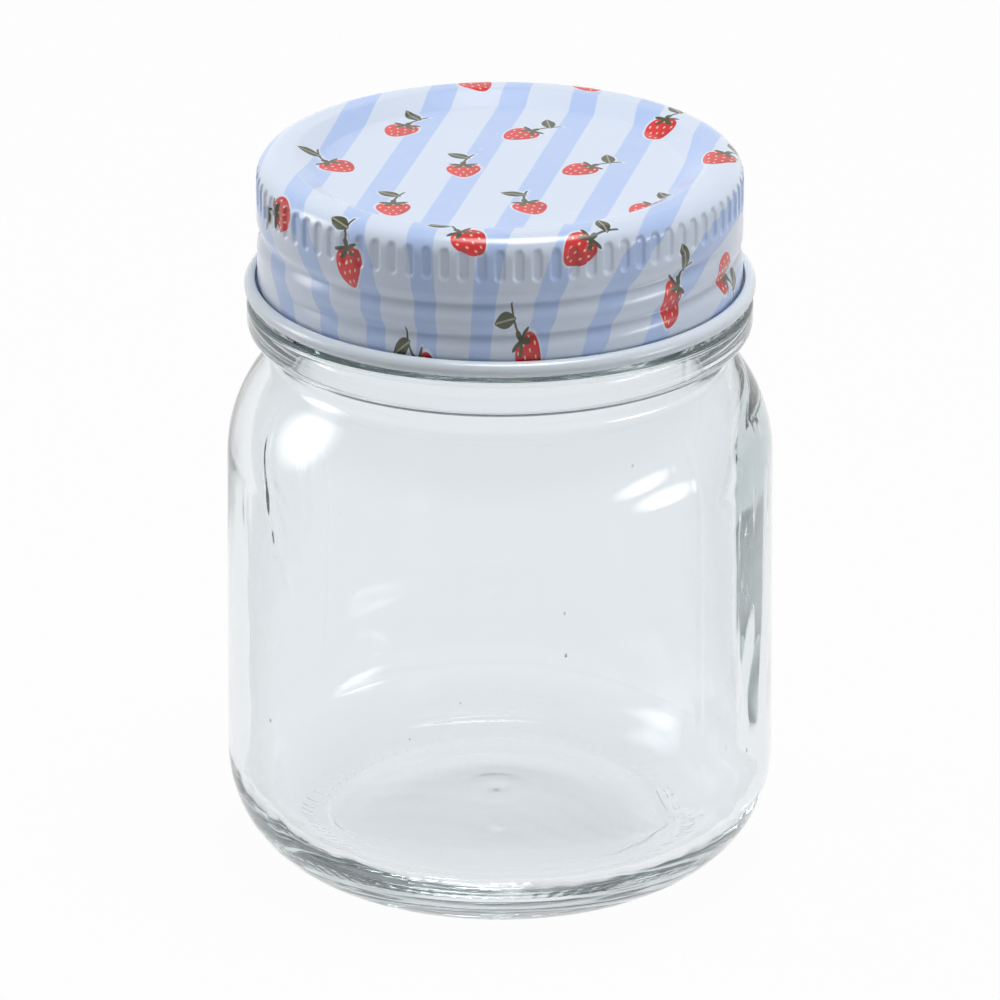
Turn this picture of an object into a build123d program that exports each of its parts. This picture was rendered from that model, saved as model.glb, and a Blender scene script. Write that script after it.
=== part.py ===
from build123d import *
import os
from math import atan2, cos, degrees, radians, sin, sqrt, tan

# Jam pot: a blown glass jar, a pressed one-piece screw lid and the sealing ring flowed into the lid.
# Millimetres, +Z up. The origin is the centre of the ring on which the jar stands.

# Neck of the jar
MOUTH_RADIUS = 28.3  # bore
NECK_WALL = 2.9
RIM_ROUND = 0.8
FINISH_HEIGHT = 18.4  # from the top of the neck bead to the rim
FINISH_ROUND = 1.0  # where the finish stands on the bead
BEAD_REACH = 3.45  # how far the bead stands out from the neck
BEAD_HEIGHT = 5.4
BEAD_TOP_ROUND = 0.9
BEAD_LOW_ROUND = 2.4
NECK_GAP = 3.1  # hollow between shoulder and bead
NECK_ROUND = 2.0
LEDGE_ROUND = 0.8

# Body of the jar
SHOULDER_REACH = 6.4  # how far the body stands out from the neck
SHOULDER_ROUND = 20.0
SHOULDER_HEIGHT = 58.7  # where the straight side ends
BODY_TAPER = 0.4  # the side leans in by this much from heel to shoulder
HEEL_WIDTH = 13.5
HEEL_HEIGHT = 15.1
WALL = 2.8
INNER_NECK_ROUND = 4.0
FLOOR_THICKNESS = 5.3  # at the standing ring
FLOOR_CROWN = 2.9
PUSH_UP = 3.2
STANDING_WIDTH = 2.0

# Screw thread, right-handed, one start
THREAD_PITCH = 4.4
THREAD_START_ANGLE = -160.0  # degrees from +X, where the lid's groove begins
GLASS_THREAD_TURNS = 1.25
GLASS_THREAD_HEIGHT = 1.15
GLASS_THREAD_ROOT = 2.6  # width at the neck
GLASS_THREAD_CREST = 1.0  # width at the crest
LID_THREAD_TURNS = 1.4
LID_THREAD_DEPTH = 0.8  # of the groove rolled into the skirt
LID_THREAD_MOUTH = 2.2  # width of the groove at the skirt
LID_THREAD_BOTTOM = 0.9  # width of the groove at its bottom
LID_THREAD_RISE = 3.86  # first groove above the middle of the hem

# Lid
SHEET = 0.4
LID_CLEARANCE = 0.4  # glass thread to skirt
LID_ROUND = 2.75
CREST_WIDTH = 2.2
STEP_WIDTH = 3.2
STEP_ROUND = 1.4
PANEL_RECESS = 1.7
HEM_ROUND = 1.1
HEM_GAP = 0.7  # hem above the neck bead
HEM_TURN = 290.0  # degrees through which the edge is curled
KNURL_COUNT = 84
KNURL_HEIGHT = 3.9
KNURL_DROP = 1.8  # top of the knurl below the crest
KNURL_DEPTH = 0.2
KNURL_TOOL_RADIUS = 0.8

# Sealing ring
RING_THICKNESS = 1.0
RING_CLEARANCE = 0.3
RING_OVERHANG = 0.3  # past the rim of the glass
RING_EDGE = 0.25  # height of its outer edge

# Overlap that lets a thread grow out of its wall
ROOTED = 0.2

# Radii and heights that follow
neck_radius = MOUTH_RADIUS + NECK_WALL
shoulder_radius = neck_radius + SHOULDER_REACH
body_radius = shoulder_radius + BODY_TAPER
standing_radius = body_radius - HEEL_WIDTH
bead_radius = neck_radius + BEAD_REACH
shoulder_top = SHOULDER_HEIGHT + sqrt(SHOULDER_ROUND**2 - (SHOULDER_ROUND - SHOULDER_REACH) ** 2)
bead_low = shoulder_top + NECK_GAP
bead_top = bead_low + BEAD_HEIGHT
rim = bead_top + FINISH_HEIGHT

lid_inner = neck_radius + GLASS_THREAD_HEIGHT + LID_CLEARANCE
lid_radius = lid_inner + SHEET
crest_under = rim + RING_THICKNESS
crest = crest_under + SHEET
crest_edge = lid_radius - LID_ROUND - CREST_WIDTH
panel_edge = crest_edge - STEP_WIDTH
panel = crest - PANEL_RECESS
hem_radius = lid_inner + HEM_ROUND
hem_height = bead_top + HEM_GAP + HEM_ROUND
lid_thread_start = hem_height + LID_THREAD_RISE
step_lean = tan(atan2(PANEL_RECESS, STEP_WIDTH) / 2)  # how a bend of the step shifts with depth


def limited(radius, room):
    """A rounding no larger than the room beside it."""
    return min(radius, 0.9 * room)


def crown(radius, height, rise):
    """Arc of a shallow dome, from its middle on the axis out to its edge at that height."""
    sphere = (radius**2 + rise**2) / (2 * rise)
    middle = height + rise - sphere + sqrt(sphere**2 - (radius / 2) ** 2)
    return ThreePointArc((0, height + rise), (radius / 2, middle), (radius, height))


def rounded(section, corners):
    """Rounds the named corners of a flat section: pairs of a point and a radius."""
    for point, radius in corners:
        vertex = section.vertices().sort_by_distance(Vector(*point, 0))[0]
        section = fillet(vertex, radius)
    return section


def turned(section):
    """Solid of revolution about Z from a section drawn as radius and height."""
    return revolve(Plane.XZ * section, Axis.Z)


def thread(outline, radius, start_height, turns, start_angle):
    """Sweeps an outline, drawn as radial reach and axial offset, along the screw line."""
    line = Helix(THREAD_PITCH, THREAD_PITCH * turns, radius)
    line = Pos(0, 0, start_height) * Rot(0, 0, start_angle) * line
    outward = (cos(radians(start_angle)), sin(radians(start_angle)), 0)
    plane = Plane(origin=line @ 0, x_dir=outward, z_dir=line % 0)
    return sweep(plane * make_face(outline), path=line, is_frenet=True)


def trapezoid(near, near_width, far, far_width):
    """Closed outline between two radial reaches with a width at each."""
    corners = [
        (near, -near_width / 2),
        (far, -far_width / 2),
        (far, far_width / 2),
        (near, near_width / 2),
    ]
    return Polyline(*corners, close=True)


def jar_section():
    """Half section of the glass without its thread."""
    shoulder_centre = (shoulder_radius - SHOULDER_ROUND, SHOULDER_HEIGHT)
    turn = atan2(shoulder_top - SHOULDER_HEIGHT, SHOULDER_ROUND - SHOULDER_REACH)
    inside_round = SHOULDER_ROUND - WALL
    inside_run = shoulder_centre[0] + inside_round - MOUTH_RADIUS
    inside_rise = sqrt(inside_round**2 - (inside_round - inside_run) ** 2)
    inside_turn = atan2(inside_rise, inside_round - inside_run)
    inside_top = SHOULDER_HEIGHT + inside_rise
    heel_centre = (standing_radius, HEEL_HEIGHT)
    inside_heel = (HEEL_WIDTH - WALL, HEEL_HEIGHT - FLOOR_THICKNESS)
    standing_inner = standing_radius - STANDING_WIDTH

    edges = [
        crown(standing_inner, 0, PUSH_UP),
        Line((standing_inner, 0), (standing_radius, 0)),
        EllipticalCenterArc(heel_centre, HEEL_WIDTH, HEEL_HEIGHT, 270, arc_size=90),
        Line((body_radius, HEEL_HEIGHT), (shoulder_radius, SHOULDER_HEIGHT)),
        CenterArc(shoulder_centre, SHOULDER_ROUND, 0, degrees(turn)),
        Polyline(
            (neck_radius, shoulder_top),
            (neck_radius, bead_low),
            (bead_radius, bead_low),
            (bead_radius, bead_top),
            (neck_radius, bead_top),
            (neck_radius, rim),
            (MOUTH_RADIUS, rim),
            (MOUTH_RADIUS, inside_top),
        ),
        CenterArc(shoulder_centre, inside_round, 0, degrees(inside_turn)),
        Line((shoulder_radius - WALL, SHOULDER_HEIGHT), (body_radius - WALL, HEEL_HEIGHT)),
        EllipticalCenterArc(heel_centre, *inside_heel, 270, arc_size=90),
        crown(standing_radius, FLOOR_THICKNESS, FLOOR_CROWN),
        Line((0, PUSH_UP), (0, FLOOR_THICKNESS + FLOOR_CROWN)),
    ]
    rim_round = limited(RIM_ROUND, NECK_WALL / 2)
    ledge_round = limited(LEDGE_ROUND, BEAD_REACH / 4)
    top_round = limited(BEAD_TOP_ROUND, BEAD_HEIGHT / 3)
    low_round = limited(BEAD_LOW_ROUND, min(BEAD_REACH - ledge_round, BEAD_HEIGHT - top_round))
    corners = [
        ((neck_radius, shoulder_top), limited(NECK_ROUND, NECK_GAP)),
        ((neck_radius, bead_low), ledge_round),
        ((bead_radius, bead_low), low_round),
        ((bead_radius, bead_top), top_round),
        ((neck_radius, bead_top), limited(FINISH_ROUND, BEAD_REACH - top_round)),
        ((neck_radius, rim), rim_round),
        ((MOUTH_RADIUS, rim), rim_round),
        ((MOUTH_RADIUS, inside_top), INNER_NECK_ROUND),
    ]
    return rounded(make_face(edges), corners)


def make_jar():
    """Glass jar with its screw thread, half a pitch above the lid's groove."""
    outline = trapezoid(-ROOTED, GLASS_THREAD_ROOT, GLASS_THREAD_HEIGHT, GLASS_THREAD_CREST)
    start = lid_thread_start + THREAD_PITCH / 2
    screw = thread(outline, neck_radius, start, GLASS_THREAD_TURNS, THREAD_START_ANGLE)
    return turned(jar_section()) + screw


def lid_section():
    """Half section of the pressed sheet: panel, step, crest, skirt and curled hem."""
    shift = SHEET * step_lean
    hem_end = radians(180 + HEM_TURN)
    hem_inner = HEM_ROUND - SHEET
    tips = [
        (hem_radius + reach * cos(hem_end), hem_height + reach * sin(hem_end))
        for reach in (hem_inner, HEM_ROUND)
    ]
    upper = [
        (0, panel),
        (panel_edge, panel),
        (crest_edge, crest),
        (lid_radius, crest),
        (lid_radius, hem_height),
    ]
    under = [
        (lid_inner, hem_height),
        (lid_inner, crest_under),
        (crest_edge + shift, crest_under),
        (panel_edge + shift, panel - SHEET),
        (0, panel - SHEET),
        (0, panel),
    ]
    edges = [
        Polyline(*upper),
        CenterArc((hem_radius, hem_height), hem_inner, 180, HEM_TURN),
        Line(*tips),
        CenterArc((hem_radius, hem_height), HEM_ROUND, 180, HEM_TURN),
        Polyline(*under),
    ]
    corners = [
        (upper[1], STEP_ROUND),
        (upper[2], STEP_ROUND + SHEET),
        (upper[3], LID_ROUND),
        (under[1], LID_ROUND - SHEET),
        (under[2], STEP_ROUND),
        (under[3], STEP_ROUND + SHEET),
    ]
    return rounded(make_face(edges), corners)


def knurl():
    """The upright flutes round the top of the skirt, as cutting tools."""
    tool = Cylinder(KNURL_TOOL_RADIUS, KNURL_HEIGHT, align=(Align.CENTER, Align.CENTER, Align.MAX))
    ring = PolarLocations(lid_radius + KNURL_TOOL_RADIUS - KNURL_DEPTH, KNURL_COUNT)
    return [Pos(0, 0, crest - KNURL_DROP) * place * tool for place in ring]


def make_lid():
    """Screw lid of one pressed sheet, its thread rolled in from outside."""
    groove = trapezoid(-LID_THREAD_DEPTH, LID_THREAD_BOTTOM, SHEET, LID_THREAD_MOUTH + SHEET)
    ridge = trapezoid(
        -LID_THREAD_DEPTH - SHEET,
        LID_THREAD_BOTTOM + SHEET,
        ROOTED - SHEET,
        LID_THREAD_MOUTH + SHEET,
    )
    margin = degrees(SHEET / lid_radius)
    lead = THREAD_PITCH * margin / 360
    inside = thread(
        ridge,
        lid_radius,
        lid_thread_start - lead,
        LID_THREAD_TURNS + 2 * margin / 360,
        THREAD_START_ANGLE - margin,
    )
    outside = thread(groove, lid_radius, lid_thread_start, LID_THREAD_TURNS, THREAD_START_ANGLE)
    return turned(lid_section()) + inside - outside - knurl()


def make_ring():
    """Sealing ring between the rim of the glass and the crest of the lid."""
    inner = crest_edge + (SHEET + STEP_ROUND) * step_lean + RING_CLEARANCE
    flat_edge = lid_radius - LID_ROUND - RING_CLEARANCE / 2
    outer = neck_radius + RING_OVERHANG
    outline = Polyline(
        (inner, rim),
        (outer, rim),
        (outer, rim + RING_EDGE),
        (flat_edge, crest_under),
        (inner, crest_under),
        close=True,
    )
    return turned(make_face(outline))


os.makedirs("parts", exist_ok=True)
for name, solid in (
    ("glass_jar", make_jar()),
    ("lid_shell", make_lid()),
    ("seal_liner", make_ring()),
):
    export_step(solid, f"parts/{name}.step")
    box = solid.bounding_box()
    print(name, "volume", round(solid.volume, 1), "from", box.min, "to", box.max)
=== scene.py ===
"""Looks of a small jam pot: a blown glass jar, a printed screw lid and its sealing ring."""
import logging
from dataclasses import dataclass, field
from enum import Enum
from functools import reduce
from math import atan2, cos, hypot, pi, radians, sin, sqrt, tan
from typing import Mapping, Optional, Sequence, Union

import bmesh
import bpy
import numpy as np
from mathutils import Euler, Matrix, Vector


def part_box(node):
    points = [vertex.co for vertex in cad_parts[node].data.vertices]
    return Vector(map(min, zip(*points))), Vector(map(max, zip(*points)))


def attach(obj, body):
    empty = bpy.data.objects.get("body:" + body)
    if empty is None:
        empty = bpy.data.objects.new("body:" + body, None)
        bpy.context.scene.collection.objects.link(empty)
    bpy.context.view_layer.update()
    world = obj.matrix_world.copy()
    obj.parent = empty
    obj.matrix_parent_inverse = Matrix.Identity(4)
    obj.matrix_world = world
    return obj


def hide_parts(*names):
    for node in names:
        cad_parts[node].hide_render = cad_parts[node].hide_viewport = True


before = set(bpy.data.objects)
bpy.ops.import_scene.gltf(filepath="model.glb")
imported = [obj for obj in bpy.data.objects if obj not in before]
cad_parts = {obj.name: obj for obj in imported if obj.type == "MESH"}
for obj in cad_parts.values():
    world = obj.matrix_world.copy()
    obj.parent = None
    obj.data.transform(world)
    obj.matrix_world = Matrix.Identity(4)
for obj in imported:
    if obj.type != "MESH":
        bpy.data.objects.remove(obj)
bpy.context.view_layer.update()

# A millimetre in metres, and the distance in millimetres under which two points are one.
MM = 0.001
TOUCHING = 0.01
# Sockets of a Mix node that is set to colours.
MIX_FACTOR, MIX_LOW, MIX_HIGH, MIX_RESULT = 0, 6, 7, 2
BLACK, WHITE = (0.0, 0.0, 0.0), (1.0, 1.0, 1.0)
Colour = tuple[float, float, float]
Pair = tuple[float, float]
Triple = tuple[float, float, float]
Places = tuple[float, float, float, float]
Value = Union["Shade", float, Sequence[float]]
log = logging.getLogger("jam_pot")


class Body(Enum):
    """Bodies of the frame that the pieces ride on."""

    JAR = "jar"
    SEAL = "seal"
    LID = "lid"


class Node(Enum):
    """Solids of the frame that the dressed pieces stand for."""

    JAR = "glass_jar"
    SEAL = "seal_liner"
    LID = "lid_shell"


class Slot(Enum):
    """Material slots of the record."""

    GLASS = "jar_glass"
    PRINT = "lid_print"
    SEAL = "seal"


class Shade:
    """A socket of a shader tree; arithmetic on it adds the nodes that do it."""

    def __init__(self, graph: "Graph", node: bpy.types.Node, output: Union[int, str] = 0) -> None:
        """Wraps one output of a node.

        Args:
            graph: tree that the node is in.
            node: the node.
            output: name or number of the output.
        """
        self.graph = graph
        self.node = node
        self.output = output

    @property
    def socket(self) -> bpy.types.NodeSocket:
        """The wrapped output."""
        return self.node.outputs[self.output]

    def other(self, output: Union[int, str]) -> "Shade":
        """Another output of the same node."""
        return Shade(self.graph, self.node, output)

    def _join(self, operation: str, first: Value, second: Value) -> "Shade":
        """Adds a Math node, or a Vector Math node where either side is a vector.

        Args:
            operation: what the node does.
            first: value on its left.
            second: value on its right.

        Returns:
            The result.
        """
        sides = (first, second)
        vector = any(isinstance(side, Shade) and side.socket.type == "VECTOR" for side in sides)
        kind = "ShaderNodeVectorMath" if vector else "ShaderNodeMath"
        return self.graph.node(kind, {"operation": operation}, dict(enumerate(sides)))

    def __add__(self, value: Value) -> "Shade":
        """This plus a value."""
        return self._join("ADD", self, value)

    def __radd__(self, value: Value) -> "Shade":
        """A value plus this."""
        return self._join("ADD", value, self)

    def __sub__(self, value: Value) -> "Shade":
        """This less a value."""
        return self._join("SUBTRACT", self, value)

    def __rsub__(self, value: Value) -> "Shade":
        """A value less this."""
        return self._join("SUBTRACT", value, self)

    def __mul__(self, value: Value) -> "Shade":
        """This times a value."""
        return self._join("MULTIPLY", self, value)

    def __rmul__(self, value: Value) -> "Shade":
        """A value times this."""
        return self._join("MULTIPLY", value, self)

    def __truediv__(self, value: Value) -> "Shade":
        """This divided by a value."""
        return self._join("DIVIDE", self, value)

    def __rtruediv__(self, value: Value) -> "Shade":
        """A value divided by this."""
        return self._join("DIVIDE", value, self)

    def __abs__(self) -> "Shade":
        """Size of this without its sign."""
        return self.apply("ABSOLUTE")

    def apply(self, operation: str, *others: Value) -> "Shade":
        """Adds any other Math node with this as its first input.

        Args:
            operation: what the node does.
            others: its further inputs.

        Returns:
            The result.
        """
        inputs = dict(enumerate((self, *others)))
        return self.graph.node("ShaderNodeMath", {"operation": operation}, inputs)

    def least(self, *others: Value) -> "Shade":
        """The smallest of this and the others."""
        return reduce(lambda found, value: found.apply("MINIMUM", value), others, self)

    def most(self, *others: Value) -> "Shade":
        """The largest of this and the others."""
        return reduce(lambda found, value: found.apply("MAXIMUM", value), others, self)

    def below(self, edge: Value, soft: float) -> "Shade":
        """One where this is under an edge, nought above it, with a soft step between.

        Args:
            edge: where the step is.
            soft: width of the step.

        Returns:
            A mask from 0 to 1.
        """
        step = (edge - self) * (1 / soft) + 0.5
        return step.most(0.0).least(1.0)

    def mix(self, low: Value, high: Value) -> "Shade":
        """Colour that goes from low to high as this goes from 0 to 1."""
        inputs = {MIX_FACTOR: self, MIX_LOW: low, MIX_HIGH: high}
        return self.graph.node("ShaderNodeMix", {"data_type": "RGBA"}, inputs, MIX_RESULT)


class Graph:
    """A shader tree that is filled node by node."""

    def __init__(self, tree: bpy.types.NodeTree) -> None:
        """Takes an empty or default tree and clears it."""
        self.tree = tree
        tree.nodes.clear()

    def node(
        self,
        kind: str,
        settings: Optional[Mapping[str, object]] = None,
        inputs: Optional[Mapping[Union[int, str], Value]] = None,
        output: Union[int, str] = 0,
    ) -> Shade:
        """Adds a node, with its settings first and its sockets after them.

        Args:
            kind: type of the node.
            settings: its properties; the stops of a ramp are pairs of a place and a colour.
            inputs: values or links of its sockets.
            output: which of its outputs is wanted.

        Returns:
            That output.
        """
        made = self.tree.nodes.new(kind)
        for name, setting in (settings or {}).items():
            if name == "stops":
                self._set_stops(made.color_ramp, setting)
            else:
                setattr(made, name, setting)
        for name, value in (inputs or {}).items():
            self._feed(made.inputs[name], value)
        return Shade(self, made, output)

    def _feed(self, socket: bpy.types.NodeSocket, value: Value) -> None:
        """Links or sets one input.

        Args:
            socket: the input.
            value: a link, a number, or the parts of a colour or vector.
        """
        if isinstance(value, Shade):
            self.tree.links.new(value.socket, socket)
        elif socket.type in ("RGBA", "VECTOR"):
            parts = tuple(value) if isinstance(value, Sequence) else (value,) * 3
            socket.default_value = (*parts[:3], 1.0) if socket.type == "RGBA" else parts[:3]
        else:
            socket.default_value = value

    @staticmethod
    def _set_stops(ramp: bpy.types.ColorRamp, stops: Sequence[tuple[float, Colour]]) -> None:
        """Sets the stops of a ramp.

        Args:
            ramp: the ramp, with its two stops as made.
            stops: pairs of a place and a colour, in order.
        """
        while len(ramp.elements) < len(stops):
            ramp.elements.new(1.0)
        for element, (place, colour) in zip(ramp.elements, stops):
            element.position = place
            element.color = (*colour, 1.0)

    def split(self, vector: Shade) -> tuple[Shade, Shade, Shade]:
        """The three parts of a vector."""
        parts = self.node("ShaderNodeSeparateXYZ", inputs={0: vector})
        return parts, parts.other(1), parts.other(2)

    def join(self, x: Value, y: Value, z: Value = 0.0) -> Shade:
        """A vector from its three parts."""
        return self.node("ShaderNodeCombineXYZ", inputs={0: x, 1: y, 2: z})

    def noise(self, place: Shade, scale: float, detail: float = 2.0) -> Shade:
        """Soft noise around 0.5.

        Args:
            place: where it is read.
            scale: how fine it is.
            detail: how many finer layers it has.

        Returns:
            The noise.
        """
        inputs = {"Vector": place, "Scale": scale, "Detail": detail}
        return self.node("ShaderNodeTexNoise", inputs=inputs)

    def bump(self, height: Shade, depth: float, strength: float = 1.0) -> Shade:
        """Normal that stands for a fine relief.

        Args:
            height: the relief, from 0 to 1.
            depth: how deep it is, in metres.
            strength: how much of it shows.

        Returns:
            The normal.
        """
        inputs = {"Height": height, "Distance": depth, "Strength": strength}
        return self.node("ShaderNodeBump", inputs=inputs)

    def place(self) -> Shade:
        """Place on the piece itself, in metres."""
        return self.node("ShaderNodeTexCoord", output="Object")

    def lit_by_view(self) -> Shade:
        """One for rays from the camera, straight or through gloss and glass."""
        path = self.node("ShaderNodeLightPath", output="Is Camera Ray")
        return path.most(path.other("Is Glossy Ray"), path.other("Is Transmission Ray"))

    def surface(self, shader: Shade, volume: Optional[Shade] = None) -> None:
        """Makes shaders the material's result.

        Args:
            shader: what the surface shows.
            volume: what fills the inside, if anything.
        """
        inputs = {"Surface": shader} if volume is None else {"Surface": shader, "Volume": volume}
        self.node("ShaderNodeOutputMaterial", inputs=inputs)


def new_material(name: str) -> tuple[bpy.types.Material, Graph]:
    """A material with an empty tree.

    Args:
        name: plain name of the finish.

    Returns:
        The material and its tree.
    """
    material = bpy.data.materials.new(name)
    material.use_nodes = True
    return material, Graph(material.node_tree)


@dataclass(frozen=True)
class PotGlass:
    """Clear soda glass, faintly green where it is thick, with a soft blown skin and painted shade
    where it is seen edge-on.
    """

    tint: Colour = (0.891, 0.911, 0.929)
    # Painted shade: the base colour turns to this darker tint where the glass is seen edge-on.
    edge_shade_tint: Colour = (0.68, 0.72, 0.74)
    edge_turn: float = 0.65
    edge_level: float = 0.80
    edge_soft: float = 0.30
    depth_tint: Colour = (0.58, 0.66, 0.665)
    depth_density: float = 10.5
    refraction: float = 1.52
    smear_roughness: float = 0.012
    smear_scale: float = 260.0
    smear_detail: float = 3.0
    ripple_depth: float = 0.00006
    ripple_strength: float = 0.35
    ripple_scale: float = 55.0
    ripple_detail: float = 1.0
    ripple_stretch: Triple = (1.0, 1.0, 0.45)

    def material(self) -> bpy.types.Material:
        """The finish as a material.

        Returns:
            The material.
        """
        material, g = new_material("pot_glass")
        place = g.place()
        smears = g.noise(place, self.smear_scale, self.smear_detail)
        ripples = g.noise(place * self.ripple_stretch, self.ripple_scale, self.ripple_detail)
        # Painted shade: the base colour darkens where the surface is seen edge-on and is not level,
        # so the sides of the jar read darker.
        grazing = g.node("ShaderNodeLayerWeight", inputs={"Blend": 0.5}, output="Facing")
        upward = g.split(g.node("ShaderNodeNewGeometry", output="Normal"))[2]
        upright = abs(upward).below(self.edge_level, self.edge_soft)
        edge = (1.0 - grazing.below(self.edge_turn, self.edge_soft)) * upright
        shader = g.node(
            "ShaderNodeBsdfPrincipled",
            inputs={
                "Base Color": edge.mix(self.tint, self.edge_shade_tint),
                "Roughness": self.smear_roughness * smears,
                "IOR": self.refraction,
                "Transmission Weight": 1.0,
                "Normal": g.bump(ripples, self.ripple_depth, self.ripple_strength),
            },
        )
        inside = g.node(
            "ShaderNodeVolumeAbsorption",
            inputs={"Color": self.depth_tint, "Density": self.depth_density},
        )
        g.surface(shader, inside)
        return material


@dataclass(frozen=True)
class StrawberryPrint:
    """Glossy white lacquer with pale stripes and scattered strawberries, printed on the flat sheet.

    All lengths are millimetres on the sheet before it was drawn into a lid.
    """

    white: Colour = (0.715, 0.80, 0.945)
    stripe: Colour = (0.49, 0.63, 0.95)
    bare: Colour = (0.74, 0.81, 0.88)
    ripe: Colour = (0.80, 0.035, 0.045)
    shaded: Colour = (0.56, 0.010, 0.020)
    seed: Colour = (0.90, 0.70, 0.42)
    leaf: Colour = (0.075, 0.085, 0.045)
    vein: Colour = (0.42, 0.43, 0.33)
    tone_scale: float = 0.35
    tone_detail: float = 3.0
    roughness: float = 0.20
    roughness_range: float = 0.10
    coat: float = 0.3
    coat_roughness: float = 0.09
    speck_scale: float = 900.0
    speck_depth: float = 0.00003
    speck_strength: float = 0.15
    stripe_pitch: float = 9.97
    stripe_width: float = 3.8
    stripe_turn: float = 12.4
    stripe_shift: float = -3.80
    stripe_strength: float = 0.80
    stripe_range: float = 0.35
    waver: float = 0.2
    waver_scale: float = 0.3
    column: float = 15.5
    drop: float = 17.5
    layout_turn: float = -31.0
    layout_shift: Pair = (1.5, -3.5)
    toss: float = 2.2
    toss_turn: float = 100.0
    berry_width: float = 4.5
    berry_height: float = 5.3
    berry_hang: float = 1.5
    berry_bulge: float = 0.30
    shade_start: float = 0.35
    shade_range: float = 0.6
    calyx_rise: float = 0.75
    calyx_squash: float = 1.55
    calyx_points: float = 5.0
    calyx_reach: float = 1.35
    calyx_depth: float = 0.75
    stem_ends: Pair = (0.8, 5.0)
    stem_bend: float = 0.085
    stem_half_width: float = 0.19
    leaf_root: Pair = (1.0, 3.3)
    leaf_turn: float = 146.0
    leaf_half_length: float = 1.9
    leaf_half_width: float = 0.95
    vein_half_width: float = 0.11
    vein_margin: float = 0.12
    vein_strength: float = 0.8
    seed_column: float = 1.1
    seed_row: float = 1.2
    seed_squash: float = 0.7
    seed_radius: float = 0.13
    seed_soft: float = 0.08
    seed_margin: float = 0.35
    margin: float = 0.30
    edge: float = 0.10

    def material(self) -> bpy.types.Material:
        """The finish as a material.

        Returns:
            The material.
        """
        material, g = new_material("strawberry_print")
        sheet = g.node("ShaderNodeAttribute", {"attribute_name": "sheet"}, output="Vector")
        x, y, printed = g.split(sheet)
        tone = g.noise(sheet, self.tone_scale, self.tone_detail)
        ground = self._stripes(x, y, g.noise(sheet, self.waver_scale), tone)
        picture = self._berries(g, x, y, tone, ground)
        speck = g.noise(g.place(), self.speck_scale)
        shader = g.node(
            "ShaderNodeBsdfPrincipled",
            inputs={
                "Base Color": printed.mix(self.bare, picture),
                "Roughness": self.roughness + self.roughness_range * tone,
                "Coat Weight": self.coat,
                "Coat Roughness": self.coat_roughness,
                "Normal": g.bump(speck, self.speck_depth, self.speck_strength),
            },
        )
        g.surface(shader)
        return material

    def _stripes(self, x: Shade, y: Shade, waver: Shade, tone: Shade) -> Shade:
        """Pale stripes with a slightly uneven brushed edge.

        Args:
            x: place across the sheet.
            y: place along the sheet.
            waver: noise that bends the edges.
            tone: noise that varies the strength of the colour.

        Returns:
            Colour of the ground.
        """
        turn = radians(self.stripe_turn)
        across = x * cos(turn) - y * sin(turn) - self.stripe_shift
        from_middle = abs((across / self.stripe_pitch + 0.5).apply("FRACT") - 0.5)
        bent = from_middle * self.stripe_pitch + self.waver * (waver - 0.5)
        inside = bent.below(self.stripe_width / 2, 2 * self.edge)
        strength = inside * (self.stripe_strength + self.stripe_range * tone)
        return strength.mix(self.white, self.stripe)

    def _tossed(self, g: Graph, x: Shade, y: Shade) -> tuple[Shade, Shade]:
        """Place from the middle of the nearest berry; they lie tossed in a half-drop repeat.

        Args:
            g: tree to add to.
            x: place across the sheet.
            y: place along the sheet.

        Returns:
            Distances across the berry and up it.
        """
        turn = radians(self.layout_turn)
        x, y = x - self.layout_shift[0], y - self.layout_shift[1]
        u = x * cos(turn) + y * sin(turn)
        v = y * cos(turn) - x * sin(turn)
        column = (u / self.column).apply("FLOOR")
        dropped = v + (column * 0.5).apply("FRACT") * self.drop
        row = (dropped / self.drop).apply("FLOOR")
        cell = {"Vector": g.join(column, row)}
        chance = g.node("ShaderNodeTexWhiteNoise", {"noise_dimensions": "2D"}, cell, "Color")
        shift_u, shift_v, tilt = g.split(chance)
        local_u = u - (column + 0.5) * self.column + self.toss * (shift_u - 0.5)
        local_v = dropped - (row + 0.5) * self.drop + self.toss * (shift_v - 0.5)
        lean = radians(self.toss_turn) * (tilt - 0.5) + turn
        c, s = lean.apply("COSINE"), lean.apply("SINE")
        return local_u * c - local_v * s, local_u * s + local_v * c

    def _calyx(self, across: Shade, up: Shade) -> Shade:
        """The star of small leaves on top of a berry.

        Args:
            across: distance across the berry.
            up: distance up the berry.

        Returns:
            Distance from its edge, below nought inside it.
        """
        rise = (up - self.calyx_rise) * self.calyx_squash
        reach = (across * across + rise * rise).apply("SQRT")
        points = (self.calyx_points * across.apply("ARCTAN2", rise)).apply("COSINE")
        return reach - (self.calyx_reach + self.calyx_depth * points)

    def _stem(self, across: Shade, up: Shade) -> Shade:
        """The bent stem of a berry.

        Args:
            across: distance across the berry.
            up: distance up the berry.

        Returns:
            Distance from its edge, below nought inside it.
        """
        low, top = self.stem_ends
        bend = self.stem_bend * (up - low).apply("POWER", 2.0)
        return (abs(across - bend) - self.stem_half_width).most(up - top, low - up)

    def _leaf(self, across: Shade, up: Shade) -> tuple[Shade, Shade]:
        """The leaf on the stem of a berry.

        Args:
            across: distance across the berry.
            up: distance up the berry.

        Returns:
            Distance from its edge, below nought inside it, and distance from its vein.
        """
        turn = radians(self.leaf_turn)
        x, y = across - self.leaf_root[0], up - self.leaf_root[1]
        along = x * cos(turn) + y * sin(turn) - self.leaf_half_length
        over = abs(y * cos(turn) - x * sin(turn))
        taper = 1.0 - (along / self.leaf_half_length).apply("POWER", 2.0)
        return over - self.leaf_half_width * taper, over

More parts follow.
